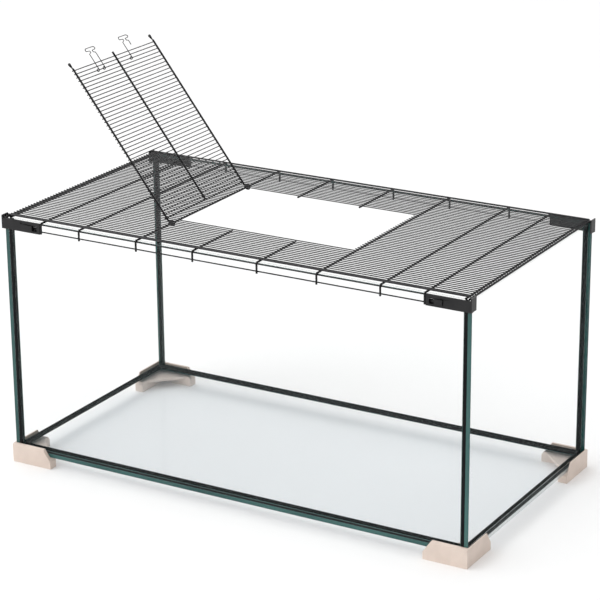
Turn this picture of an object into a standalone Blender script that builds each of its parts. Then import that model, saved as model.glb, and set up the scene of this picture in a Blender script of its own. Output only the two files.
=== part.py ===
"""Glass hamster cage with a lift-off wire lid, a hinged wire door, corner feet and lid locks.

Metres, +Z up. The footprint is centred on the origin, the front faces -Y and the feet stand on z = 0.
"""

import math

import bmesh
import bpy
from mathutils import Matrix, Vector

# Driving sizes of the tank
GLASS_WIDTH = 0.600
GLASS_DEPTH = 0.308
PANE = 0.005
WALL_HEIGHT = 0.2850
FOOT_DROP = 0.013
SEAM = 0.0050
JOINT = 0.0040
GAP = 0.0003
WIRE_GAP = 0.00025

# Feet
FOOT_WALL = 0.0047
FOOT_SIDE_WALL = 0.0014
FOOT_LENGTH = 0.0540
FOOT_SIDE_LENGTH = 0.0580
FOOT_TOP_CUT = 0.0100
FOOT_RISE = 0.0100
FOOT_BROW = 0.0024
FOOT_BROW_DROP = 0.0015
FOOT_STEP = 0.0088
FOOT_LEG = 0.0115
FOOT_WEB = 0.0590
FOOT_WEB_PLATE = 0.0030

# Lid wires
FINE_WIRE = 0.0014
EDGE_WIRE = 0.0022
BAR_WIRE = 0.0024
SKIRT_WIRE = 0.0016
FINE_PITCH = 0.0055
EDGE_INSET = 0.00275
OPENING_EACH_SIDE = 13
DOOR_BAR_INSET = 0.18375
STUB_BAR_SHARE = 0.35613
MID_BAR_SHARE = 0.4045
OUTER_BAR_INSET = 0.0535
END_BAR_INSET = 0.0032
INNER_BAR_STEP = 0.0045
SKIRT_DROP = 0.0125
SKIRT_BEND = 0.0021
WIRE_OVERHANG = 0.0020
SKIRT_OVERHANG = 0.0012

# Door
DOOR_OPEN = math.radians(127.6)
DOOR_EYE_GAPS = 2
RAIL_WIRE = 0.0024
RUNG_WIRE = 0.0012
ROOT_WIRE = 0.0018
DOOR_CLEARANCE = 0.0240
RUNG_SPACING = 0.00464
RAIL_OVERHANG = 0.0020
CENTRE_RAIL_OVERHANG = 0.0050
EYE_PLAY = 0.0004
LOOP_LENGTH = 0.0085
LOOP_WIDTH = 0.0046

# Door latches
LATCH_WIRE = 0.0010
LATCH_CENTRE = 0.034
LATCH_LEGS = 0.0120
LATCH_NECK = 0.0050
LATCH_HEAD = 0.0190
LATCH_SHOULDER = 0.0210
LATCH_REACH = 0.0285
LATCH_RUNG_FROM_END = 2

# Corner brackets and lid locks
BRACKET_LENGTH = 0.0520
BRACKET_WALL = 0.0040
BRACKET_HEIGHT = 0.0098
LIP_WALL = 0.0019
LIP_HEIGHT = 0.0030
EAR_LENGTH = 0.0113
EAR_WALL = 0.0014
LOCK_TRAVEL = 0.0060
LOCK_KNOB = 0.0097
LOCK_KNOB_HEIGHT = 0.0062
LOCK_TONGUE = 0.0010
LOCK_TONGUE_HEIGHT = 0.0030

# Sizes that follow
HALF_W = GLASS_WIDTH / 2
HALF_D = GLASS_DEPTH / 2
FLOOR_TOP = FOOT_DROP + PANE
WALL_BASE = FLOOR_TOP + GAP
GLASS_TOP = WALL_BASE + WALL_HEIGHT
INNER_W = HALF_W - PANE
INNER_D = HALF_D - PANE
BAR_Z = GLASS_TOP + WIRE_GAP + BAR_WIRE / 2
BAR_TOP = BAR_Z + BAR_WIRE / 2
FINE_Z = BAR_TOP + WIRE_GAP + FINE_WIRE / 2
LID_TOP = FINE_Z + FINE_WIRE / 2
FINE_EACH_SIDE = round((HALF_D - EDGE_INSET) / FINE_PITCH - 0.5)
WIRE_STEP = (HALF_D - EDGE_INSET) / (FINE_EACH_SIDE + 0.5)
EDGE_Y = HALF_D - EDGE_INSET
OPENING_Y = (OPENING_EACH_SIDE + 0.5) * WIRE_STEP
DOOR_HALF_WIDTH = (OPENING_EACH_SIDE + DOOR_EYE_GAPS) * WIRE_STEP
END_BAR_X = HALF_W - END_BAR_INSET
OUTER_BAR_X = HALF_W - OUTER_BAR_INSET
DOOR_BAR_X = HALF_W - DOOR_BAR_INSET
MID_BAR_X = OUTER_BAR_X - (OUTER_BAR_X - DOOR_BAR_X) * MID_BAR_SHARE
STUB_BAR_X = DOOR_BAR_X * STUB_BAR_SHARE
SKIRT_Y = HALF_D + GAP + SKIRT_WIRE / 2
DROP_Y = SKIRT_Y + SKIRT_WIRE / 2 + WIRE_GAP + BAR_WIRE / 2
UPPER_SKIRT_Z = BAR_Z - BAR_WIRE / 2 - WIRE_GAP - SKIRT_WIRE / 2
DROP_END_Z = BAR_Z - SKIRT_DROP
LOWER_SKIRT_Z = DROP_END_Z + 0.0010 + SKIRT_WIRE / 2
BRACKET_TOP = UPPER_SKIRT_Z - SKIRT_WIRE / 2 - GAP
BRACKET_BASE = BRACKET_TOP - BRACKET_HEIGHT
EYE_RADIUS = BAR_WIRE / 2 + EYE_PLAY + RAIL_WIRE / 2
RAIL_LIFT = EYE_RADIUS
RUNG_LIFT = RAIL_LIFT + RAIL_WIRE / 2 + WIRE_GAP + RUNG_WIRE / 2
ROOT_REST = LID_TOP - BAR_Z + ROOT_WIRE / 2 + 0.00034
DOOR_ROOT = (ROOT_REST - RUNG_LIFT * math.cos(DOOR_OPEN)) / math.sin(DOOR_OPEN)
DOOR_LAST_RUNG = 2 * DOOR_BAR_X - DOOR_CLEARANCE
RUNG_COUNT = round((DOOR_LAST_RUNG - DOOR_ROOT) / RUNG_SPACING) + 1
RUNG_PITCH = (DOOR_LAST_RUNG - DOOR_ROOT) / (RUNG_COUNT - 1)
RAIL_REACH = DOOR_LAST_RUNG + RAIL_OVERHANG
CENTRE_RAIL_REACH = DOOR_LAST_RUNG + CENTRE_RAIL_OVERHANG

MODEL = "glass_hamster_cage"
model = None
cutters = None


def start():
    """Empties the scene and makes the two collections."""
    global model, cutters
    for thing in list(bpy.data.objects):
        bpy.data.objects.remove(thing, do_unlink=True)
    model = bpy.data.collections.new(MODEL)
    cutters = bpy.data.collections.new(MODEL + "_cutters")
    bpy.context.scene.collection.children.link(model)
    bpy.context.scene.collection.children.link(cutters)
    cutters.hide_render = True


def material(name, colour, roughness, metallic=0.0, alpha=1.0):
    made = bpy.data.materials.new(name)
    made.use_nodes = True
    shader = made.node_tree.nodes["Principled BSDF"]
    shader.inputs["Base Color"].default_value = (*colour, 1.0)
    shader.inputs["Roughness"].default_value = roughness
    shader.inputs["Metallic"].default_value = metallic
    shader.inputs["Alpha"].default_value = alpha
    made.diffuse_color = (*colour, alpha)
    return made


def glass():
    return material("pane_glass", (0.55, 0.72, 0.70), 0.03, 0.0, 0.35)


def silicone():
    return material("black_silicone", (0.012, 0.012, 0.013), 0.45)


def foot_plastic():
    return material("foot_plastic", (0.66, 0.52, 0.45), 0.5)


def black_plastic():
    return material("black_plastic", (0.02, 0.02, 0.022), 0.4)


def black_wire():
    return material("black_coated_wire", (0.015, 0.015, 0.016), 0.35, 0.4)


def add(name, mesh, look, smooth=False):
    """Puts a mesh in the model collection as a named piece."""
    piece = bpy.data.objects.new(name, mesh)
    model.objects.link(piece)
    mesh.materials.clear()
    mesh.materials.append(look)
    for face in mesh.polygons:
        face.use_smooth = smooth
    return piece


def mesh_from(made, name):
    mesh = bpy.data.meshes.new(name)
    bmesh.ops.recalc_face_normals(made, faces=made.faces)
    made.to_mesh(mesh)
    made.free()
    return mesh


def box_mesh(name, low, high):
    """A box between two corners."""
    low = Vector(low)
    high = Vector(high)
    made = bmesh.new()
    size = Matrix.Diagonal((*(high - low), 1.0))
    place = Matrix.Translation((low + high) / 2)
    bmesh.ops.create_cube(made, size=1.0, matrix=place @ size)
    return mesh_from(made, name)


def prism_mesh(name, outline, along, start_at, end_at):
    """A flat outline in the two other axes, X or Y first, filled and extruded along one axis."""
    shape = bpy.data.curves.new(name, "CURVE")
    shape.dimensions = "2D"
    shape.fill_mode = "BOTH"
    shape.extrude = abs(end_at - start_at) / 2
    rim = shape.splines.new("POLY")
    rim.points.add(len(outline) - 1)
    for point, (first, second) in zip(rim.points, outline):
        point.co = (first, second, 0.0, 1.0)
    rim.use_cyclic_u = True
    thing = bpy.data.objects.new(name + "_outline", shape)
    model.objects.link(thing)
    middle = (start_at + end_at) / 2
    columns = {
        0: ((0, 0, 1, middle), (1, 0, 0, 0), (0, 1, 0, 0), (0, 0, 0, 1)),
        1: ((1, 0, 0, 0), (0, 0, -1, middle), (0, 1, 0, 0), (0, 0, 0, 1)),
        2: ((1, 0, 0, 0), (0, 1, 0, 0), (0, 0, 1, middle), (0, 0, 0, 1)),
    }
    thing.matrix_world = Matrix(columns[along])
    return bake(thing)


def cutter(name, mesh):
    tool = bpy.data.objects.new(name, mesh)
    cutters.objects.link(tool)
    tool.hide_render = True
    tool.display_type = "WIRE"
    return tool


def boolean(piece, tool, operation):
    step = piece.modifiers.new(operation.lower(), "BOOLEAN")
    step.operation = operation
    step.solver = "EXACT"
    step.object = tool


def chamfer(piece, width, segments=1):
    edge = piece.modifiers.new("edge", "BEVEL")
    edge.width = width
    edge.segments = segments
    edge.limit_method = "ANGLE"
    edge.angle_limit = math.radians(40)


def bake(thing):
    """The evaluated mesh of an object, in world space and welded; the object is removed."""
    bpy.context.view_layer.update()
    seen = thing.evaluated_get(bpy.context.evaluated_depsgraph_get())
    mesh = bpy.data.meshes.new_from_object(seen)
    mesh.transform(thing.matrix_world)
    bpy.data.objects.remove(thing, do_unlink=True)
    made = bmesh.new()
    made.from_mesh(mesh)
    bmesh.ops.remove_doubles(made, verts=made.verts, dist=0.0000002)
    bmesh.ops.recalc_face_normals(made, faces=made.faces)
    made.to_mesh(mesh)
    made.free()
    return mesh


def wire_mesh(name, points, thickness, closed=False):
    """A round wire through the points."""
    line = bpy.data.curves.new(name, "CURVE")
    line.dimensions = "3D"
    line.bevel_depth = thickness / 2
    line.bevel_resolution = 2
    line.use_fill_caps = True
    path = line.splines.new("POLY")
    path.points.add(len(points) - 1)
    for point, place in zip(path.points, points):
        point.co = (*place, 1.0)
    path.use_cyclic_u = closed
    thing = bpy.data.objects.new(name + "_path", line)
    model.objects.link(thing)
    return bake(thing)


def arc(centre, radius, start, end, steps, across=1):
    """Points on an arc in the plane across an axis, from one angle to another."""
    points = []
    for step in range(steps + 1):
        turn = start + (end - start) * step / steps
        first = radius * math.cos(turn)
        second = radius * math.sin(turn)
        if across == 1:
            points.append((centre[0] + first, centre[1], centre[2] + second))
        elif across == 0:
            points.append((centre[0], centre[1] + first, centre[2] + second))
        else:
            points.append((centre[0] + first, centre[1] + second, centre[2]))
    return points


def joined(name, meshes, look):
    """Several closed meshes that overlap, made one piece by unions."""
    piece = add(name, meshes[0], look, smooth=True)
    for number, mesh in enumerate(meshes[1:]):
        boolean(piece, cutter(f"{name}_join_{number}", mesh), "UNION")
    return piece


def panes():
    look = glass()
    spans = {
        "floor_pane": ((-HALF_W, -HALF_D, FOOT_DROP), (HALF_W, HALF_D, FLOOR_TOP)),
        "left_pane": ((-HALF_W, -HALF_D, WALL_BASE), (-INNER_W, HALF_D, GLASS_TOP)),
        "right_pane": ((INNER_W, -HALF_D, WALL_BASE), (HALF_W, HALF_D, GLASS_TOP)),
        "front_pane": (
            (-INNER_W + JOINT, -HALF_D, WALL_BASE),
            (INNER_W - JOINT, -INNER_D, GLASS_TOP),
        ),
        "back_pane": (
            (-INNER_W + JOINT, INNER_D, WALL_BASE),
            (INNER_W - JOINT, HALF_D, GLASS_TOP),
        ),
    }
    for name, (low, high) in spans.items():
        chamfer(add(name, box_mesh(name, low, high), look), 0.0004)


def fillet_outline(corner, first_sign, second_sign):
    """A concave quarter round that fills an inner corner, set off the glass by the gap."""
    first, second = corner
    first += first_sign * GAP
    second += second_sign * GAP
    reach = SEAM - GAP
    outline = [(first, second), (first + first_sign * reach, second)]
    lip = 0.0006
    outline.append((first + first_sign * reach, second + second_sign * lip))
    hollow = reach - lip
    for step in range(1, 5):
        turn = math.radians(90) * step / 5
        along = reach - hollow * math.sin(turn)
        rise = reach - hollow * math.cos(turn)
        outline.append((first + first_sign * along, second + second_sign * rise))
    outline.append((first + first_sign * lip, second + second_sign * reach))
    outline.append((first, second + second_sign * reach))
    return outline


def seams():
    """Black silicone: a bead along each edge of the floor and a strip in each upright joint."""
    look = silicone()
    for side, sx in (("left", -1), ("right", 1)):
        for face, sy in (("front", -1), ("back", 1)):
            name = f"seam_{face}_{side}_corner"
            strip = sorted_box(
                name,
                (sx * (INNER_W - GAP), sy * (HALF_D - GAP), WALL_BASE),
                (sx * (INNER_W - JOINT + GAP), sy * INNER_D, GLASS_TOP - 0.001),
            )
            chamfer(add(name, strip, look), 0.0004)
    for face, sy in (("front", -1), ("back", 1)):
        outline = fillet_outline((sy * INNER_D, FLOOR_TOP), -sy, 1)
        name = f"seam_{face}_floor"
        end = INNER_W - GAP
        add(name, prism_mesh(name, outline, 0, -end, end), look)
    end = INNER_D - SEAM - GAP
    for side, sx in (("left", -1), ("right", 1)):
        outline = fillet_outline((sx * INNER_W, FLOOR_TOP), -sx, 1)
        name = f"seam_{side}_floor"
        add(name, prism_mesh(name, outline, 1, -end, end), look)


def end_cut(name, sign, corner, length, along, start_at, end_at):
    """A cutter that slopes the free end of one leg of a foot."""
    top = FOOT_DROP + FOOT_RISE
    shape = [(length + 0.001, FOOT_STEP), (length, FOOT_STEP), (length - FOOT_TOP_CUT, top)]
    shape += [(length - FOOT_TOP_CUT, top + 0.001), (length + 0.001, top + 0.001)]
    outline = [(corner - sign * reach, height) for reach, height in shape]
    return cutter(name, prism_mesh(name, outline, along, start_at, end_at))


def feet():
    """An L of two walls round each lower corner, with a shelf under the glass."""
    look = foot_plastic()
    top = FOOT_DROP + FOOT_RISE
    for side, sx in (("left", -1), ("right", 1)):
        for face, sy in (("front", -1), ("back", 1)):
            name = f"foot_{face}_{side}"
            outer_x = sx * (HALF_W + GAP + FOOT_SIDE_WALL)
            outer_y = sy * (HALF_D + GAP + FOOT_WALL)
            inner_x = outer_x - sx * FOOT_LEG
            inner_y = outer_y - sy * FOOT_LEG
            plan = [
                (outer_x, outer_y),
                (outer_x - sx * FOOT_LENGTH, outer_y),
                (outer_x - sx * FOOT_LENGTH, inner_y),
                (inner_x, inner_y),
                (inner_x, outer_y - sy * FOOT_SIDE_LENGTH),
                (outer_x, outer_y - sy * FOOT_SIDE_LENGTH),
            ]
            foot = add(name, prism_mesh(name, plan, 2, 0.0, top), look)
            near_x = outer_x - sx * FOOT_LEG / 2
            near_y = outer_y - sy * FOOT_LEG / 2
            web_outline = [
                (near_x, near_y),
                (outer_x - sx * (FOOT_WEB - FOOT_LEG / 2), near_y),
                (near_x, outer_y - sy * (FOOT_WEB - FOOT_LEG / 2)),
            ]
            plate_top = FOOT_DROP - GAP - 0.0002
            web = prism_mesh(name, web_outline, 2, plate_top - FOOT_WEB_PLATE, plate_top)
            boolean(foot, cutter(name + "_web", web), "UNION")
            seat = box_mesh(
                name,
                (-HALF_W - GAP, -HALF_D - GAP, FOOT_DROP - GAP),
                (HALF_W + GAP, HALF_D + GAP, GLASS_TOP),
            )
            boolean(foot, cutter(name + "_seat", seat), "DIFFERENCE")
            past_x = outer_x + sx * 0.001
            past_y = outer_y + sy * 0.001
            behind_x = inner_x - sx * 0.001
            behind_y = inner_y - sy * 0.001
            front_end = end_cut(name + "_end", sx, outer_x, FOOT_LENGTH, 1, past_y, behind_y)
            side_end = end_cut(
                name + "_side_end", sy, outer_y, FOOT_SIDE_LENGTH, 0, past_x, behind_x
            )
            brow_outline = [
                (past_y, top - FOOT_BROW_DROP),
                (outer_y, top - FOOT_BROW_DROP),
                (outer_y - sy * FOOT_BROW, top),
                (outer_y - sy * FOOT_BROW, top + 0.001),
                (past_y, top + 0.001),
            ]
            far_x = outer_x - sx * (FOOT_LENGTH + 0.002)
            brow = prism_mesh(name, brow_outline, 0, past_x, far_x)
            boolean(foot, front_end, "DIFFERENCE")
            boolean(foot, side_end, "DIFFERENCE")
            boolean(foot, cutter(name + "_brow", brow), "DIFFERENCE")
            chamfer(foot, 0.0004, 2)


def sorted_box(name, first, second):
    low = [min(a, b) for a, b in zip(first, second)]
    high = [max(a, b) for a, b in zip(first, second)]
    return box_mesh(name, low, high)


def brackets():
    """Corner brackets hold the lid down with a small sliding lock each."""
    plastic = black_plastic()
    face_in = HALF_D + GAP
    face_out = face_in + BRACKET_WALL
    ear_in = HALF_W + GAP
    ear_out = ear_in + EAR_WALL
    tongue_base = LOWER_SKIRT_Z + SKIRT_WIRE / 2 + 0.0004
    tongue_top = tongue_base + LOCK_TONGUE_HEIGHT
    tongue_deep = LOCK_TONGUE
    knob_in = face_in + tongue_deep - 0.0001
    knob_base = BRACKET_BASE + 0.0027
    knob_top = knob_base + LOCK_KNOB_HEIGHT
    end_x = HALF_W - BRACKET_LENGTH
    knob_outer = end_x + 0.0200
    knob_inner = knob_outer - LOCK_KNOB
    window_inner = knob_inner - LOCK_TRAVEL - GAP
    for side, sx in (("left", -1), ("right", 1)):
        for face, sy in (("front", -1), ("back", 1)):
            name = f"bracket_{face}_{side}"
            leg = sorted_box(
                name,
                (sx * end_x, sy * face_in, BRACKET_BASE),
                (sx * ear_out, sy * face_out, BRACKET_TOP),
            )
            lip = sorted_box(
                name,
                (sx * end_x, sy * (face_out - LIP_WALL), BRACKET_TOP - 0.001),
                (sx * ear_out, sy * face_out, BRACKET_TOP + LIP_HEIGHT),
            )
            ear = sorted_box(
                name,
                (sx * ear_in, sy * (face_out - 0.0001), BRACKET_BASE + 0.0004),
                (sx * ear_out, sy * (face_out - EAR_LENGTH), LID_TOP),
            )
            bracket = add(name, leg, plastic)
            boolean(bracket, cutter(name + "_lip", lip), "UNION")
            boolean(bracket, cutter(name + "_ear", ear), "UNION")
            channel = sorted_box(
                name,
                (sx * (end_x - 0.001), sy * (face_in - 0.001), tongue_base - GAP),
                (
                    sx * (knob_outer + GAP),
                    sy * (face_in + tongue_deep + 2 * GAP),
                    tongue_top + GAP,
                ),
            )
            window = sorted_box(
                name,
                (sx * window_inner, sy * (knob_in - GAP), knob_base - GAP),
                (sx * (knob_outer + GAP), sy * (face_out + 0.001), knob_top + GAP),
            )
            recess = sorted_box(
                name,
                (sx * (end_x + 0.0172), sy * (face_out - 0.0007), BRACKET_TOP - 0.0009),
                (sx * (end_x + 0.0270), sy * (face_out + 0.001), BRACKET_TOP + 0.0012),
            )
            for label, mesh in (
                ("_channel", channel),
                ("_window", window),
                ("_recess", recess),
            ):
                boolean(bracket, cutter(name + label, mesh), "DIFFERENCE")
            name = f"lid_lock_{face}_{side}"
            tongue = sorted_box(
                name,
                (sx * (end_x + 0.0005), sy * (face_in + 0.0001), tongue_base),
                (sx * knob_outer, sy * (face_in + 0.0001 + tongue_deep), tongue_top),
            )
            knob = sorted_box(
                name,
                (
                    sx * knob_inner,
                    sy * knob_in,
                    knob_base,
                ),
                (sx * knob_outer, sy * (face_out + 0.0012), knob_top),
            )
            lock = add(name, tongue, plastic)
            boolean(lock, cutter(name + "_knob", knob), "UNION")
            origin = Vector((sx * knob_outer, sy * face_out, knob_base))
            lock.data.transform(Matrix.Translation(-origin))
            lock.location = origin
            cutters.objects[name + "_knob"].location = origin
            cutters.objects[name + "_knob"].data.transform(Matrix.Translation(-origin))


def slots(name, x_range, first_y, count):
    """A row of gaps between fine wires, as one cutter."""
    gap_width = WIRE_STEP - FINE_WIRE
    mesh = box_mesh(
        name,
        (x_range[0], first_y, FINE_Z - 0.003),
        (x_range[1], first_y + gap_width, FINE_Z + 0.003),
    )
    tool = cutter(name, mesh)
    row = tool.modifiers.new("row", "ARRAY")
    row.use_relative_offset = False
    row.use_constant_offset = True
    row.constant_offset_displace = (0.0, WIRE_STEP, 0.0)
    row.count = count
    return tool


def grille():
    """Fine wires along the lid, tied by a strip over each end bar and over each door bar."""
    half = FINE_WIRE / 2
    plate = box_mesh(
        "lid_grille",
        (-END_BAR_X - half, -EDGE_Y - EDGE_WIRE / 2, FINE_Z - half),
        (END_BAR_X + half, EDGE_Y + EDGE_WIRE / 2, FINE_Z + half),
    )
    lid = add("lid_grille", plate, black_wire())
    outer = END_BAR_X - half
    tie = DOOR_BAR_X + WIRE_OVERHANG
    bay = DOOR_BAR_X - WIRE_OVERHANG + 0.0004
    first = -EDGE_Y + half
    rows = 2 * FINE_EACH_SIDE + 1
    strip_rows = FINE_EACH_SIDE - OPENING_EACH_SIDE
    boolean(lid, slots("gaps_left", (-outer, -tie), first, rows), "DIFFERENCE")
    boolean(lid, slots("gaps_right", (tie, outer), first, rows), "DIFFERENCE")
    boolean(lid, slots("gaps_front", (-bay, bay), first, strip_rows), "DIFFERENCE")
    back = OPENING_Y + half
    boolean(lid, slots("gaps_back", (-bay, bay), back, strip_rows), "DIFFERENCE")
    hole = box_mesh(
        "opening",
        (-bay, -OPENING_Y + half, FINE_Z - 0.004),
        (bay, OPENING_Y - half, FINE_Z + 0.004),
    )
    boolean(lid, cutter("opening", hole), "DIFFERENCE")
    clear = (WIRE_STEP - FINE_WIRE) / 2
    for face, sy in (("front", -1), ("back", 1)):
        notch = box_mesh(
            "eye_notch_" + face,
            (-tie - 0.001, sy * DOOR_HALF_WIDTH - clear, FINE_Z - 0.005),
            (-bay + 0.001, sy * DOOR_HALF_WIDTH + clear, FINE_Z + 0.005),
        )
        boolean(lid, cutter("eye_notch_" + face, notch), "DIFFERENCE")


def bar_end(sign, x):
    """Points of a bar from its free lower end up and over the skirt bend."""
    bend = (x, sign * (DROP_Y - SKIRT_BEND), BAR_Z - SKIRT_BEND)
    points = [(x, sign * DROP_Y, DROP_END_Z)]
    for step in range(5):
        turn = math.radians(90) * step / 4
        over = bend[1] + sign * SKIRT_BEND * math.cos(turn)
        points.append((x, over, bend[2] + SKIRT_BEND * math.sin(turn)))
    return points


def lid_bars():
    look = black_wire()
    full = {"left_outer": -OUTER_BAR_X, "left_mid": -MID_BAR_X, "hinge": -DOOR_BAR_X}
    full.update({"latch": DOOR_BAR_X, "right_mid": MID_BAR_X, "right_outer": OUTER_BAR_X})
    for label, x in full.items():
        points = bar_end(-1, x) + bar_end(1, x)[::-1]
        name = f"lid_bar_{label}"
        add(name, wire_mesh(name, points, BAR_WIRE), look, smooth=True)
    for label, x in (("left", -STUB_BAR_X), ("right", STUB_BAR_X)):
        for face, sy in (("front", -1), ("back", 1)):
            inner = sy * (OPENING_Y - FINE_WIRE / 2)
            points = bar_end(sy, x) + [(x, inner, BAR_Z)]
            name = f"lid_stub_{face}_{label}"
            add(name, wire_mesh(name, points, BAR_WIRE), look, smooth=True)
    end = HALF_D - 0.0005
    for side, sx in (("left", -1), ("right", 1)):
        for label, x in (("end", END_BAR_X), ("inner", END_BAR_X - INNER_BAR_STEP)):
            points = [(sx * x, -end, BAR_Z), (sx * x, end, BAR_Z)]
            name = f"lid_{label}_bar_{side}"
            add(name, wire_mesh(name, points, BAR_WIRE), look, smooth=True)
    for face, sy in (("front", -1), ("back", 1)):
        for label, z, reach in (
            ("upper", UPPER_SKIRT_Z, END_BAR_X - 0.003),
            ("lower", LOWER_SKIRT_Z, OUTER_BAR_X + SKIRT_OVERHANG),
        ):
            points = [(-reach, sy * SKIRT_Y, z), (reach, sy * SKIRT_Y, z)]
            name = f"lid_skirt_{face}_{label}"
            add(name, wire_mesh(name, points, SKIRT_WIRE), look, smooth=True)


def hinge_frame():
    """An empty on the hinge bar's axis, turned to the open angle; +X runs along the door."""
    frame = bpy.data.objects.new("door_hinge_axis", None)
    model.objects.link(frame)
    frame.location = (-DOOR_BAR_X, 0.0, BAR_Z)
    frame.rotation_euler = (0.0, -DOOR_OPEN, 0.0)
    return frame


def loop_points(y):
    """A closed teardrop at the free end of a side rail."""
    half_width = (LOOP_WIDTH - RAIL_WIRE) / 2
    middle = RAIL_LIFT + half_width
    far = RAIL_REACH + LOOP_LENGTH - RAIL_WIRE / 2 - half_width
    points = [(RAIL_REACH - 0.0005, y, RAIL_LIFT + 0.0003)]
    points += arc((far, y, middle), half_width, math.radians(-90), math.radians(100), 6)
    return points


def door(frame):
    look = black_wire()
    for face, sy in (("front", -1), ("back", 1)):
        name = f"door_rail_{face}"
        y = sy * DOOR_HALF_WIDTH
        ring = arc((0.0, y, 0.0), EYE_RADIUS, 0.2, 0.2 + math.radians(330), 11)
        eye = wire_mesh(name, ring, RAIL_WIRE * 1.02, closed=True)
        straight = [(0.0, y, RAIL_LIFT), (RAIL_REACH, y, RAIL_LIFT)]
        rail = wire_mesh(name, straight, RAIL_WIRE)
        loop = wire_mesh(name, loop_points(y), RAIL_WIRE * 0.7, closed=True)
        piece = joined(name, [rail, eye, loop], look)
        piece.parent = frame
        for number in (0, 1):
            cutters.objects[f"{name}_join_{number}"].parent = frame
    name = "door_rail_centre"
    points = [(DOOR_ROOT, 0.0, RAIL_LIFT), (CENTRE_RAIL_REACH, 0.0, RAIL_LIFT)]
    piece = add(name, wire_mesh(name, points, RAIL_WIRE), look, smooth=True)
    piece.parent = frame
    half = RUNG_WIRE / 2
    across = DOOR_HALF_WIDTH + RAIL_WIRE / 2
    tie = 0.0014
    plate = box_mesh(
        "door_rungs",
        (DOOR_ROOT - ROOT_WIRE / 2, -across, RUNG_LIFT - half),
        (DOOR_LAST_RUNG + half, across, RUNG_LIFT + half),
    )
    rungs = add("door_rungs", plate, look)
    rungs.parent = frame
    for face, low, high in (
        ("front", -across + tie, -tie / 2),
        ("back", tie / 2, across - tie),
    ):
        gap = box_mesh(
            "rung_gaps_" + face,
            (DOOR_ROOT + RUNG_PITCH - half, low, RUNG_LIFT - 0.003),
            (DOOR_ROOT + ROOT_WIRE / 2, high, RUNG_LIFT + 0.003),
        )
        for corner in gap.vertices:
            if corner.co.x > DOOR_ROOT + RUNG_PITCH / 2:
                corner.co.x = DOOR_ROOT + RUNG_PITCH - half
            else:
                corner.co.x = DOOR_ROOT + half + 0.0003
        tool = cutter("rung_gaps_" + face, gap)
        row = tool.modifiers.new("row", "ARRAY")
        row.use_relative_offset = False
        row.use_constant_offset = True
        row.constant_offset_displace = (RUNG_PITCH, 0.0, 0.0)
        row.count = RUNG_COUNT - 1
        tool.parent = frame
        boolean(rungs, tool, "DIFFERENCE")


def latch_points(drop, stub):
    """A bent wire latch in its own frame: +X away from the pivot, Y across."""
    leg = LATCH_LEGS / 2
    neck = LATCH_NECK / 2
    head = LATCH_HEAD / 2
    near = LATCH_SHOULDER + 0.0035
    far = LATCH_REACH
    mid = (near + far) / 2
    points = [(0.0, -leg, -drop), (LATCH_SHOULDER, -leg, -drop)]
    points += [(LATCH_SHOULDER + 0.0012, -neck, -drop), (near, -neck, -drop)]
    points += [(near + 0.0005, -head + 0.001, -drop), (mid, -head, -drop)]
    points += [(far, -head + 0.0015, -drop), (far, head - 0.003, -drop)]
    points += [(far - 0.0012, head - 0.0008, -drop), (mid, head, -drop)]
    points += [(near + 0.0003, head - 0.0015, -drop), (near, neck, -drop)]
    points += [(LATCH_SHOULDER + 0.0012, neck, -drop), (LATCH_SHOULDER, leg, -drop)]
    points += [(stub, leg, -drop)]
    return points


def latches(frame):
    look = black_wire()
    rung = DOOR_LAST_RUNG - LATCH_RUNG_FROM_END * RUNG_PITCH
    ring_radius = RUNG_WIRE * 0.75 + 0.0003 + LATCH_WIRE / 2
    for face, sy, stub in (("front", -1, 0.0), ("back", 1, 0.0150)):
        name = f"door_latch_{face}"
        axis = bpy.data.objects.new(name + "_axis", None)
        model.objects.link(axis)
        axis.parent = frame
        axis.location = (rung, sy * LATCH_CENTRE, RUNG_LIFT)
        body = wire_mesh(name, latch_points(ring_radius, stub), LATCH_WIRE)
        rings = []
        sides = (-1, 1) if stub == 0.0 else (-1,)
        for side in sides:
            y = side * LATCH_LEGS / 2
            ring = arc((0.0, y, 0.0), ring_radius, 0.3, 0.3 + math.radians(315), 7)
            rings.append(wire_mesh(name, ring, LATCH_WIRE * 1.04, closed=True))
        piece = joined(name, [body] + rings, look)
        piece.parent = axis
        for number in range(len(rings)):
            cutters.objects[f"{name}_join_{number}"].parent = axis


def build():
    start()
    panes()
    seams()
    feet()
    brackets()
    grille()
    lid_bars()
    frame = hinge_frame()
    door(frame)
    latches(frame)
    bpy.context.view_layer.update()


build()
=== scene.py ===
"""Glass hamster cage: the fine surface, materials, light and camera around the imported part."""

import math

import bpy
import numpy as np
from mathutils import Matrix, Vector


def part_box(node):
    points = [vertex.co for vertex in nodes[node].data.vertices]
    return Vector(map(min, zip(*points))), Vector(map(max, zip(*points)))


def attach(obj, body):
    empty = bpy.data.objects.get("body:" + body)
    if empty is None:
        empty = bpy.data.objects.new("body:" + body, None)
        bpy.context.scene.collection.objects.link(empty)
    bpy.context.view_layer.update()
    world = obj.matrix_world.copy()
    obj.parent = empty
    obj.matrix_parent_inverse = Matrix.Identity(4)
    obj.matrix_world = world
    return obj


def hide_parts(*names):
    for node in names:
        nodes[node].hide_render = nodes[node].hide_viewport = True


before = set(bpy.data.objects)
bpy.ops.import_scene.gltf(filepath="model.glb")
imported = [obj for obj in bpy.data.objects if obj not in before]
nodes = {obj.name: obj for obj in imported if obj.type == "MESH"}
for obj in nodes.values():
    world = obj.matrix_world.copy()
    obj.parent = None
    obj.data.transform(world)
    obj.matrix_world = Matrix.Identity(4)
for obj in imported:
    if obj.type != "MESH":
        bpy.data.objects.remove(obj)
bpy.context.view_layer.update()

# Lid wires, in metres. The solids have square fine wires; the ones drawn here are round.
PITCH = 0.0055
FINE = 0.0014
DRAWN = 0.00132
EDGE = 0.0022
WIRES_EACH_SIDE = 27
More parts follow.
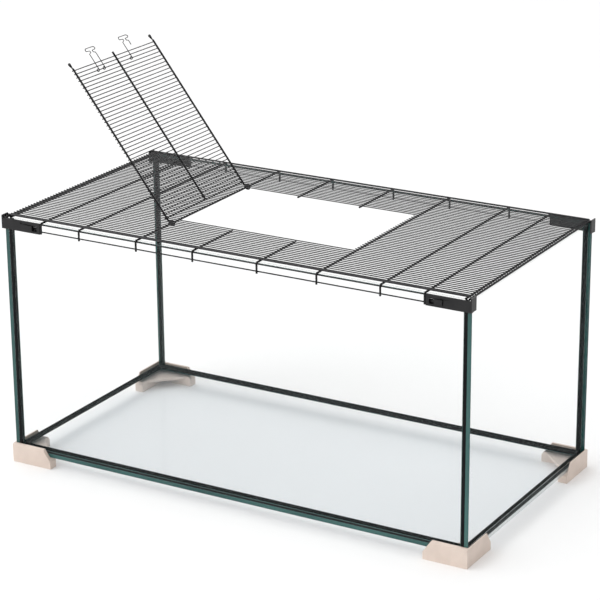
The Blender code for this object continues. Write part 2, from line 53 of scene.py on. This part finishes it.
OPENING_WIRES = 13
WIRE_DROP = 0.00015
OPENING_OVERHANG = 0.0019

# Door wires. Places are measured along the door from its hinge bar.
RUNG = 0.0012
ROOT = 0.0018
RUNGS = 44
ROOT_AT = 0.0089
LAST_AT = 0.2085
RUNG_LIFT = 0.00485
RUNG_HALF = 0.0837
DOOR_OPEN = math.radians(127.6)

# Glass, and the silicone between the panes
PANE = 0.005
JOINT = 0.0040
BED_SKIN = 0.00002
BED_INSET = 0.0002
BED_END = 0.0004
BED_CHAMFER = 0.00005
STRIP_SKIN = 0.00003
STRIP_BACK = 0.0001
STRIP_INSET = 0.0002
STRIP_TOP = 0.0005
STRIP_CHAMFER = 0.0002

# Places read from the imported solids
grille_low, grille_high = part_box("lid_grille")
bar_low, bar_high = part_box("lid_bar_latch")
floor_low, floor_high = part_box("floor_pane")
front_low, front_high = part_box("front_pane")
DOOR_BAR_X = (bar_low.x + bar_high.x) / 2
BAR_Z = bar_high.z - (bar_high.x - bar_low.x) / 2
FINE_Z = (grille_low.z + grille_high.z) / 2
END_X = grille_high.x - FINE / 2
HALF_W, HALF_D = floor_high.x, floor_high.y
FLOOR_TOP, WALL_BASE, GLASS_TOP = floor_high.z, front_low.z, front_high.z

# Glass colours, each a pair that the noise mixes
TEAL = ((0.010, 0.062, 0.058), (0.036, 0.120, 0.110))
# The pale pair is a painted reflection: the light caught by the glass edges that do not face the front,
# the tops among them
PALE_REFLECTION = ((0.30, 0.36, 0.36), (0.42, 0.48, 0.47))
CLEAR = ((0.55, 0.70, 0.68), (0.62, 0.76, 0.74))
FLOOR_TINT = ((0.42, 0.62, 0.74), (0.46, 0.66, 0.78))

# Where a pane's surface turns from face to edge, and from edge to front end; edges that do not face the
# front get the painted reflection
FACE_TURN = (0.72, 0.90)
FRONT_TURN = (-0.66, -0.40)

# Camera: lens and film in millimetres, place in metres, yaw, pitch and roll in degrees
FOCAL_LENGTH = 142.452
SENSOR = 36.0
CAMERA_PLACE = (1.3167, -2.2376, 1.1213)
CAMERA_TURN = (-30.410, 19.417, -0.472)


# ---------------------------------------------------------------- materials


def shader(name):
    """A new material; returns it, its nodes' maker, its linker and its Principled node."""
    made = bpy.data.materials.new(name)
    made.use_nodes = True
    tree = made.node_tree
    base = tree.nodes["Principled BSDF"]

    def put(kind, **settings):
        node = tree.nodes.new("ShaderNode" + kind)
        for key, value in settings.items():
            setattr(node, key, value)
        return node

    def join(source, target):
        tree.links.new(source, target)

    return made, put, join, base


def noise(put, join, scale, detail=3.0):
    """Noise in the object's own coordinates."""
    place = put("TexCoord")
    grain = put("TexNoise")
    grain.inputs["Scale"].default_value = scale
    grain.inputs["Detail"].default_value = detail
    join(place.outputs["Object"], grain.inputs["Vector"])
    return grain


def ramp(put, join, source, stops):
    """A ramp of two colours over a 0 to 1 value; each stop is (position, colour)."""
    node = put("ValToRGB")
    for mark, (position, colour) in zip(node.color_ramp.elements, stops):
        mark.position = position
        mark.color = (*colour, 1.0)
    join(source, node.inputs["Fac"])
    return node


def spread(put, join, source, low, high, at=(0.3, 0.7)):
    """Maps a value to a range."""
    node = put("MapRange")
    for key, value in zip(("From Min", "From Max", "To Min", "To Max"), (*at, low, high)):
        node.inputs[key].default_value = value
    join(source, node.inputs["Value"])
    return node


def bump(put, join, base, height, strength, distance):
    """Fine relief from a height value."""
    node = put("Bump")
    node.inputs["Strength"].default_value = strength
    node.inputs["Distance"].default_value = distance
    join(height, node.inputs["Height"])
    join(node.outputs["Normal"], base.inputs["Normal"])


def speckled(name, dark, light, rough, scale, relief, shine=0.5):
    """A plain material with fine variation in colour, gloss and relief."""
    made, put, join, base = shader(name)
    cloud = noise(put, join, scale / 12)
    grain = noise(put, join, scale, detail=4.0)
    tint = ramp(put, join, cloud.outputs["Fac"], [(0.3, dark), (0.7, light)])
    join(tint.outputs["Color"], base.inputs["Base Color"])
    gloss = spread(put, join, grain.outputs["Fac"], *rough)
    join(gloss.outputs["Result"], base.inputs["Roughness"])
    bump(put, join, base, grain.outputs["Fac"], 0.35, relief)
    base.inputs["Specular IOR Level"].default_value = shine
    return made


def pane_glass(name, axis, clear, face, cover):
    """Clear float glass across one axis: nearly invisible faces, sea-green front ends, and the other edges
    pale with a painted reflection.
    """
    made, put, join, base = shader(name)
    place = put("TexCoord")
    parts = put("SeparateXYZ")
    join(place.outputs["Normal"], parts.inputs["Vector"])
    size = put("Math", operation="ABSOLUTE")
    join(parts.outputs[axis], size.inputs[0])
    is_edge = spread(put, join, size.outputs["Value"], 1.0, 0.0, FACE_TURN)
    is_front = spread(put, join, parts.outputs["Y"], 1.0, 0.0, FRONT_TURN)
    cloud = noise(put, join, 26.0)
    along = noise(put, join, 9.0, detail=2.0)
    body = ramp(put, join, cloud.outputs["Fac"], [(0.3, face[0]), (0.7, face[1])])
    rim = ramp(put, join, along.outputs["Fac"], [(0.35, TEAL[0]), (0.65, TEAL[1])])
    # Painted reflection on the edges that do not face the front
    side = ramp(put, join, along.outputs["Fac"], [(0.35, PALE_REFLECTION[0]), (0.65, PALE_REFLECTION[1])])

    def mix(factor, first, second, kind="RGBA"):
        node = put("Mix", data_type=kind)
        join(factor, node.inputs["Factor"])
        for key, value in (("A", first), ("B", second)):
            if isinstance(value, float):
                node.inputs[key].default_value = value
            else:
                join(value, node.inputs[key])
        return node.outputs["Result"]

    # Front ends get the teal; the other edges get the painted reflection
    ends = mix(is_front.outputs["Result"], side.outputs["Color"], rim.outputs["Color"])
    colour = mix(is_edge.outputs["Result"], body.outputs["Color"], ends)
    join(colour, base.inputs["Base Color"])
    shown = mix(is_front.outputs["Result"], cover, 1.0, "FLOAT")
    alpha = mix(is_edge.outputs["Result"], clear, shown, "FLOAT")
    join(alpha, base.inputs["Alpha"])
    gloss = spread(put, join, cloud.outputs["Fac"], 0.03, 0.07)
    join(gloss.outputs["Result"], base.inputs["Roughness"])
    base.inputs["IOR"].default_value = 1.5
    return made


def paint(names, look):
    """Gives CAD nodes a material."""
    for name in names:
        piece = nodes[name]
        piece.data.materials.clear()
        piece.data.materials.append(look)


wire_look = speckled(
    "wire_coat", (0.003, 0.003, 0.004), (0.008, 0.008, 0.009),
    rough=(0.26, 0.42), scale=900, relief=0.00006, shine=0.22)
fine_look = speckled(
    "fine_wire_coat", (0.006, 0.006, 0.007), (0.016, 0.016, 0.018),
    rough=(0.28, 0.45), scale=900, relief=0.00004, shine=0.40)
seal_look = speckled(
    "silicone_seal", (0.001, 0.001, 0.002), (0.004, 0.004, 0.005),
    rough=(0.30, 0.50), scale=420, relief=0.00008, shine=0.12)
foot_look = speckled(
    "foot_moulding", (0.655, 0.545, 0.475), (0.725, 0.61, 0.535),
    rough=(0.42, 0.58), scale=650, relief=0.00005)
black_look = speckled(
    "bracket_moulding", (0.006, 0.006, 0.007), (0.013, 0.013, 0.014),
    rough=(0.30, 0.46), scale=700, relief=0.00005, shine=0.3)
side_glass = pane_glass("glass_side", "X", clear=0.014, face=CLEAR, cover=0.12)
long_glass = pane_glass("glass_long", "Y", clear=0.014, face=CLEAR, cover=0.05)
floor_glass = pane_glass("glass_floor", "Z", clear=0.055, face=FLOOR_TINT, cover=0.45)

WIRE_NODES = ("lid_bar", "lid_stub", "lid_end", "lid_inner", "lid_skirt", "lid_grille", "door_")
paint(["left_pane", "right_pane"], side_glass)
paint(["front_pane", "back_pane"], long_glass)
paint(["floor_pane"], floor_glass)
paint([n for n in nodes if n.startswith("seam_")], seal_look)
paint([n for n in nodes if n.startswith("foot_")], foot_look)
paint([n for n in nodes if n.startswith(("bracket_", "lid_lock_"))], black_look)
paint([n for n in nodes if n.startswith(WIRE_NODES)], wire_look)


# ---------------------------------------------------------------- pieces


def piece_from(name, points, faces, look, body, slot, smooth=True):
    """A mesh piece that rides on a body."""
    mesh = bpy.data.meshes.new(name)
    mesh.from_pydata([tuple(p) for p in points], [], [tuple(f) for f in faces])
    mesh.update()
    made = bpy.data.objects.new(name, mesh)
    bpy.context.scene.collection.objects.link(made)
    mesh.materials.append(look)
    for face in mesh.polygons:
        face.use_smooth = smooth
    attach(made, body)
    return made


def tubes(paths, sides=10):
    """Points and faces of round wires with domed ends; each path is (points, radius)."""
    dome = ((0.1, 0.55), (0.45, 0.88), (1.0, 1.0))
    points, faces = [], []
    for line, radius in paths:
        line = np.array(line, float)
        start = (line[0] - line[1]) / np.linalg.norm(line[0] - line[1])
        end = (line[-1] - line[-2]) / np.linalg.norm(line[-1] - line[-2])
        rings = [(line[0] - start * radius * back, share) for back, share in dome]
        rings += [(place, 1.0) for place in line[1:-1]]
        rings += [(line[-1] - end * radius * back, share) for back, share in reversed(dome)]
        places = [place for place, _ in rings]
        ways = []
        for i in range(len(places)):
            way = places[min(i + 1, len(places) - 1)] - places[max(i - 1, 0)]
            ways.append(way / np.linalg.norm(way))
        side = np.cross(ways[0], (0.13, 0.31, 0.94))
        side /= np.linalg.norm(side)
        first = len(points)
        for (place, share), way in zip(rings, ways):
            side = side - way * (side @ way)
            side /= np.linalg.norm(side)
            other = np.cross(way, side)
            for k in range(sides):
                turn = 2 * math.pi * k / sides
                points.append(place + radius * share * (side * math.cos(turn) + other * math.sin(turn)))
        for r in range(len(rings) - 1):
            for k in range(sides):
                a = first + r * sides + k
                b = first + r * sides + (k + 1) % sides
                faces.append((a, b, b + sides, a + sides))
        low, high = len(points), len(points) + 1
        points += [line[0], line[-1]]
        last = first + (len(rings) - 1) * sides
        for k in range(sides):
            faces.append((low, first + (k + 1) % sides, first + k))
            faces.append((high, last + k, last + (k + 1) % sides))
    return points, faces


def boxes(spans, chamfer):
    """Points and faces of boxes with chamfered edges, each given as its (low, high) corners."""
    ends = (0, 1)
    corners = [(x, y, z) for x in ends for y in ends for z in ends]
    points, faces = [], []
    for span in spans:
        # A corner has three points: the one under (corner, axis) lies on the face across that axis
        index = {}
        for corner in corners:
            for axis in range(3):
                place = [span[end][i] for i, end in enumerate(corner)]
                for i, end in enumerate(corner):
                    if i != axis:
                        place[i] += -chamfer if end else chamfer
                index[(*corner, axis)] = len(points)
                points.append(place)
        for axis in range(3):
            u, v = (axis + 1) % 3, (axis + 2) % 3
            for end in ends:
                ring = []
                for a, b in ((0, 0), (1, 0), (1, 1), (0, 1)):
                    key = [0, 0, 0]
                    key[axis], key[u], key[v] = end, a, b
                    ring.append(index[(*key, axis)])
                faces.append(ring if end else ring[::-1])
            for a in ends:
                for b in ends:
                    lower, upper = [0, 0, 0], [0, 0, 0]
                    lower[axis], upper[axis] = 0, 1
                    lower[u] = upper[u] = a
                    lower[v] = upper[v] = b
                    ring = [index[(*lower, u)], index[(*upper, u)], index[(*upper, v)], index[(*lower, v)]]
                    faces.append(ring if a == b else ring[::-1])
        for corner in corners:
            ring = [index[(*corner, axis)] for axis in range(3)]
            faces.append(ring if sum(corner) % 2 else ring[::-1])
    return points, faces


def fine_wires():
    """Every fine wire of the lid, each lying across the bars; the two outermost are thicker."""
    over = FINE / 2
    outer = END_X + over
    inner = DOOR_BAR_X - OPENING_OVERHANG
    fine, thick = [], []
    for step in range(-WIRES_EACH_SIDE - 1, WIRES_EACH_SIDE + 1):
        y = (step + 0.5) * PITCH
        outermost = step in (-WIRES_EACH_SIDE - 1, WIRES_EACH_SIDE)
        radius = (EDGE if outermost else DRAWN) / 2
        z = FINE_Z - WIRE_DROP + (radius - over)
        runs = [(-outer, outer)]
        if abs(y) < OPENING_WIRES * PITCH:
            runs = [(-outer, -inner), (inner, outer)]
        for a, b in runs:
            (thick if outermost else fine).append(([(a, y, z), (b, y, z)], radius))
    made = piece_from("fine_wires", *tubes(fine + thick), fine_look, "lid", "black_wire")
    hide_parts("lid_grille")


def at_door(u, y, lift):
    """A point on the open door, from its place along, across and above the closed door."""
    c, s = math.cos(DOOR_OPEN), math.sin(DOOR_OPEN)
    return (-DOOR_BAR_X + u * c - lift * s, y, BAR_Z + u * s + lift * c)


def rungs():
    """The cross wires of the door; the one next to the hinge is thicker."""
    made = []
    for step in range(RUNGS):
        u = ROOT_AT + (LAST_AT - ROOT_AT) * step / (RUNGS - 1)
        radius = (RUNG if step else ROOT) / 2
        made.append(([at_door(u, y, RUNG_LIFT) for y in (-RUNG_HALF, RUNG_HALF)], radius))
    piece = piece_from("door_cross_wires", *tubes(made), fine_look, "door", "black_wire")
    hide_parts("door_rungs")


def sorted_box(xs, ys, zs):
    """The (low, high) corners of a box between pairs of coordinates in either order."""
    return tuple(zip(*(sorted(pair) for pair in (xs, ys, zs))))


def seals():
    """The silicone squeezed under the walls and filling the upright joints, seen through the glass."""
    inner_x, inner_y = HALF_W - PANE, HALF_D - PANE
    along = (BED_END - HALF_W, HALF_W - BED_END)
    layer = (FLOOR_TOP + BED_SKIN, WALL_BASE - BED_SKIN)
    beds = [sorted_box(along, (s * (HALF_D - BED_INSET), s * inner_y), layer) for s in (-1, 1)]
    beds += [sorted_box((s * HALF_W, s * inner_x), (-inner_y, inner_y), layer) for s in (-1, 1)]
    piece_from("seal_beds", *boxes(beds, BED_CHAMFER), seal_look, "tank", "silicone", False)

    height = (WALL_BASE, GLASS_TOP - STRIP_TOP)
    strips = []
    for sx in (-1, 1):
        for sy in (-1, 1):
            across = (sx * (inner_x - STRIP_SKIN), sx * (inner_x - JOINT + STRIP_SKIN))
            depth = (sy * (inner_y + STRIP_BACK), sy * (HALF_D - STRIP_INSET))
            strips.append(sorted_box(across, depth, height))
    made = piece_from("seal_uprights", *boxes(strips, STRIP_CHAMFER), seal_look, "tank", "silicone", False)
    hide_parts(*[f"seam_{f}_{s}_corner" for f in ("front", "back") for s in ("left", "right")])


fine_wires()
rungs()
seals()


# ---------------------------------------------------------------- stage


def ground():
    """A plain pale floor."""
    made, put, join, base = shader("studio_floor")
    cloud = noise(put, join, 1.4)
    tone = ramp(put, join, cloud.outputs["Fac"], [(0.3, (0.955,) * 3), (0.7, (0.965,) * 3)])
    join(tone.outputs["Color"], base.inputs["Base Color"])
    base.inputs["Roughness"].default_value = 0.9
    base.inputs["Specular IOR Level"].default_value = 0.1
    mesh = bpy.data.meshes.new("studio_floor")
    reach = 12.0
    corners = [(-reach, -reach, 0), (reach, -reach, 0), (reach, reach, 0), (-reach, reach, 0)]
    mesh.from_pydata(corners, [], [(0, 1, 2, 3)])
    mesh.materials.append(made)
    floor = bpy.data.objects.new("studio_floor", mesh)
    floor.location.z = -0.0001
    bpy.context.scene.collection.objects.link(floor)


def surroundings():
    """White light from all round, stronger from the -X side."""
    world = bpy.data.worlds.new("studio")
    world.use_nodes = True
    tree = world.node_tree
    back = tree.nodes["Background"]
    back.inputs["Color"].default_value = (1.0, 1.0, 1.0, 1.0)
    where = tree.nodes.new("ShaderNodeTexCoord")
    split = tree.nodes.new("ShaderNodeSeparateXYZ")
    level = tree.nodes.new("ShaderNodeMapRange")
    for key, value in (("From Min", -0.8), ("From Max", 0.8), ("To Min", 1.48), ("To Max", 0.56)):
        level.inputs[key].default_value = value
    tree.links.new(where.outputs["Generated"], split.inputs["Vector"])
    tree.links.new(split.outputs["X"], level.inputs["Value"])
    tree.links.new(level.outputs["Result"], back.inputs["Strength"])
    bpy.context.scene.world = world


def soft_light(name, place, target, size, power):
    """A square area lamp turned to a target."""
    lamp = bpy.data.lights.new(name, "AREA")
    lamp.shape = "RECTANGLE"
    lamp.size = lamp.size_y = size
    lamp.energy = power
    made = bpy.data.objects.new(name, lamp)
    made.location = place
    made.rotation_euler = (Vector(target) - Vector(place)).to_track_quat("-Z", "Y").to_euler()
    bpy.context.scene.collection.objects.link(made)


def camera():
    """The camera at the photograph's angle."""
    lens = bpy.data.cameras.new("camera")
    lens.sensor_width = SENSOR
    lens.lens = FOCAL_LENGTH
    lens.clip_start, lens.clip_end = 0.1, 60
    lens.dof.use_dof = False
    yaw, pitch, roll = (math.radians(angle) for angle in CAMERA_TURN)
    ahead = Vector((math.sin(yaw) * math.cos(pitch), math.cos(yaw) * math.cos(pitch), -math.sin(pitch)))
    right = Vector((math.cos(yaw), -math.sin(yaw), 0.0))
    up = right.cross(ahead)
    turned_right = right * math.cos(roll) + up * math.sin(roll)
    turned_up = up * math.cos(roll) - right * math.sin(roll)
    eye = bpy.data.objects.new("camera", lens)
    bpy.context.scene.collection.objects.link(eye)
    axes = Matrix((turned_right, turned_up, -ahead)).transposed().to_4x4()
    eye.matrix_world = Matrix.Translation(CAMERA_PLACE) @ axes
    bpy.context.scene.camera = eye


ground()
surroundings()
soft_light("key", (-1.6, -1.8, 2.6), (0, 0, 0.2), size=2.2, power=20.0)
soft_light("fill", (2.4, -1.2, 1.8), (0, 0, 0.15), size=1.8, power=4.0)
bpy.context.scene.view_settings.view_transform = "Standard"
bpy.context.scene.view_settings.look = "None"
camera()
